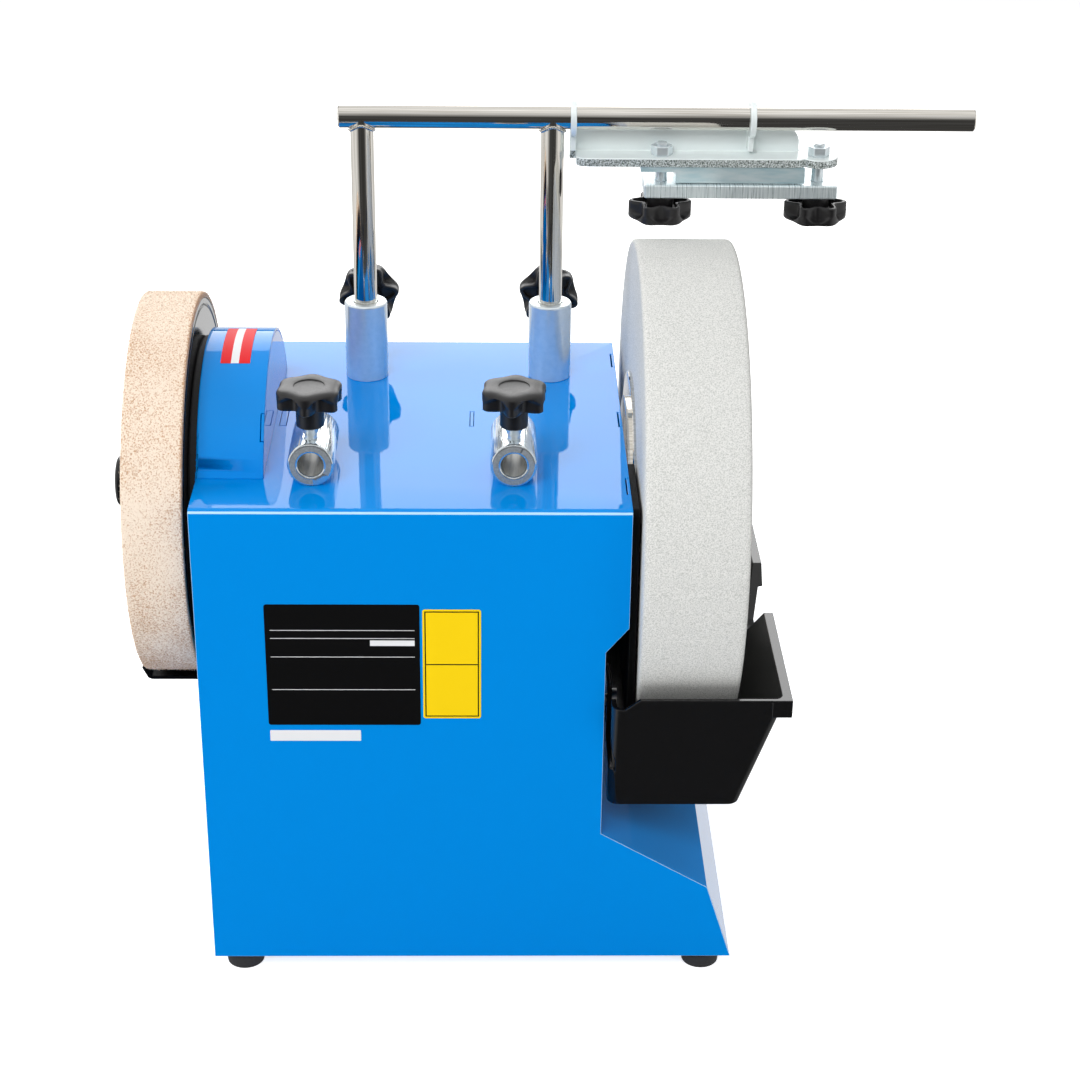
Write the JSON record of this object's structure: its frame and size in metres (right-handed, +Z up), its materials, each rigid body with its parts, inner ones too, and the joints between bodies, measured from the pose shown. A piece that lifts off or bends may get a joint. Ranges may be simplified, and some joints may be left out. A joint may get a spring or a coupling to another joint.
{
  "type": "wet sharpening machine",
  "caption": "Bench wet sharpener: blue sheet casing, slow grinding stone in a water trough, leather honing wheel, friction drive, bar tool support with a blade jig.",
  "frame": {"origin": "on the bench under the middle of the machine's box, below the spindle's axis", "axes": "+X along the spindle from the honing wheel to the stone, +Y away from the operator, +Z up"},
  "size_m": [0.438, 0.25, 0.4165],
  "materials": {
    "blue_enamel": "gloss enamel on sheet steel",
    "bare_steel": "ground steel",
    "zinc_plating": "bright zinc plating on turned steel",
    "chrome_plating": "chrome plating on steel bar",
    "cast_aluminium": "die cast",
    "bearing_bronze": "sintered bronze",
    "black_rubber": "moulded",
    "black_plastic": "moulded, glossy",
    "knob_plastic": "moulded, fine texture",
    "ceramic_stone": "vitrified grit, matt",
    "tan_leather": "smooth strop leather"
  },
  "bodies": {
    "casing": {"housing_shell": "blue_enamel", "right_side_panel": "blue_enamel", "left_side_panel": "blue_enamel", "bearing_plate": "blue_enamel", "partition_plate": "blue_enamel", "base_plate": "blue_enamel", "drive_hood": "blue_enamel", "hood_side_plate": "blue_enamel", "splash_guard": "black_plastic", "foot_front_left": "black_rubber", "foot_front_right": "black_rubber", "foot_rear_left": "black_rubber", "foot_rear_right": "black_rubber", "foot_screws": "bare_steel", "left_bushing": "bearing_bronze", "right_bushing": "bearing_bronze", "drip_tray": "black_plastic", "motor_drive_bell": "cast_aluminium", "motor_stator": "bare_steel", "motor_fan_bell": "cast_aluminium", "motor_screws": "bare_steel", "capacitor": "black_plastic", "switch_body": "black_plastic", "cable_gland": "black_plastic", "trough_pegs": "bare_steel", "post_sleeve_left": "zinc_plating", "post_sleeve_right": "zinc_plating", "rest_sleeve_left": "zinc_plating", "rest_sleeve_right": "zinc_plating"},
    "spindle": {"spindle_shaft": "bare_steel", "stone_inner_flange": "chrome_plating", "grinding_stone": "ceramic_stone", "stone_outer_flange": "chrome_plating", "stone_nut": "bare_steel", "drive_wheel": "black_plastic", "drive_ring": "black_rubber", "honing_wheel": "black_plastic", "honing_leather": "tan_leather", "honing_knob": "black_plastic"},
    "motor_rotor": {"motor_shaft": "bare_steel", "motor_fan": "black_plastic"},
    "tool_support": {"support_frame": "chrome_plating"},
    "blade_jig": {"jig_bracket": "zinc_plating", "jig_stop_strip": "zinc_plating", "jig_studs": "zinc_plating", "jig_nuts": "zinc_plating"},
    "jig_clamp": {"jig_clamp_bar": "bare_steel"},
    "jig_knob_left": {"jig_knob_left": "knob_plastic"},
    "jig_knob_right": {"jig_knob_right": "knob_plastic"},
    "post_knob_left": {"post_knob_left": "knob_plastic", "post_knob_left_stud": "zinc_plating"},
    "post_knob_right": {"post_knob_right": "knob_plastic", "post_knob_right_stud": "zinc_plating"},
    "rest_knob_left": {"rest_knob_left": "knob_plastic", "rest_knob_left_stud": "zinc_plating"},
    "rest_knob_right": {"rest_knob_right": "knob_plastic", "rest_knob_right_stud": "zinc_plating"},
    "rocker": {"switch_rocker": "black_plastic"},
    "water_trough": {"water_trough": "black_plastic"}
  },
  "joints": [
    {"name": "spindle_turn", "type": "hinge", "parent": "casing", "child": "spindle", "pos_m": [0, 0, 0.232], "axis": [1, 0, 0], "continuous": true},
    {"name": "motor_turn", "type": "hinge", "parent": "casing", "child": "motor_rotor", "pos_m": [0, 0, 0.15188], "axis": [1, 0, 0], "continuous": true},
    {"name": "support_height", "type": "slide", "parent": "casing", "child": "tool_support", "axis": [0, 0, 1], "range_m": [0, 0.025]},
    {"name": "jig_slide", "type": "slide", "parent": "tool_support", "child": "blade_jig", "axis": [1, 0, 0], "range_m": [0, 0.1]},
    {"name": "jig_clamp_open", "type": "slide", "parent": "blade_jig", "child": "jig_clamp", "axis": [0, 0, 1], "range_m": [-0.004, 0]},
    {"name": "jig_knob_left_turn", "type": "hinge", "parent": "jig_clamp", "child": "jig_knob_left", "pos_m": [0.05995, 0.0625, 0.3675], "axis": [0, 0, -1], "range_deg": [0, 360]},
    {"name": "jig_knob_right_turn", "type": "hinge", "parent": "jig_clamp", "child": "jig_knob_right", "pos_m": [0.14045, 0.0625, 0.3675], "axis": [0, 0, -1], "range_deg": [0, 360]},
    {"name": "post_knob_left_turn", "type": "hinge", "parent": "casing", "child": "post_knob_left", "pos_m": [-0.09305, 0.0737, 0.2995], "axis": [0, 1, 0], "range_deg": [0, 360]},
    {"name": "post_knob_right_turn", "type": "hinge", "parent": "casing", "child": "post_knob_right", "pos_m": [0.00395, 0.0737, 0.2995], "axis": [0, 1, 0], "range_deg": [0, 360]},
    {"name": "rest_knob_left_turn", "type": "hinge", "parent": "casing", "child": "rest_knob_left", "pos_m": [-0.11305, -0.0705, 0.288], "axis": [0, 0, 1], "range_deg": [0, 360]},
    {"name": "rest_knob_right_turn", "type": "hinge", "parent": "casing", "child": "rest_knob_right", "pos_m": [-0.01605, -0.0705, 0.288], "axis": [0, 0, 1], "range_deg": [0, 360]},
    {"name": "switch_rock", "type": "hinge", "parent": "casing", "child": "rocker", "pos_m": [-0.00455, 0.113, 0.19], "axis": [1, 0, 0], "range_deg": [0, 16]},
    {"name": "trough_lift", "type": "slide", "parent": "casing", "child": "water_trough", "axis": [0, 0, 1], "range_m": [0, 0.0055]}
  ],
  "couplings": [
    {"joint": "motor_turn", "follows": "spindle_turn", "ratio": -15.556}
  ]
}
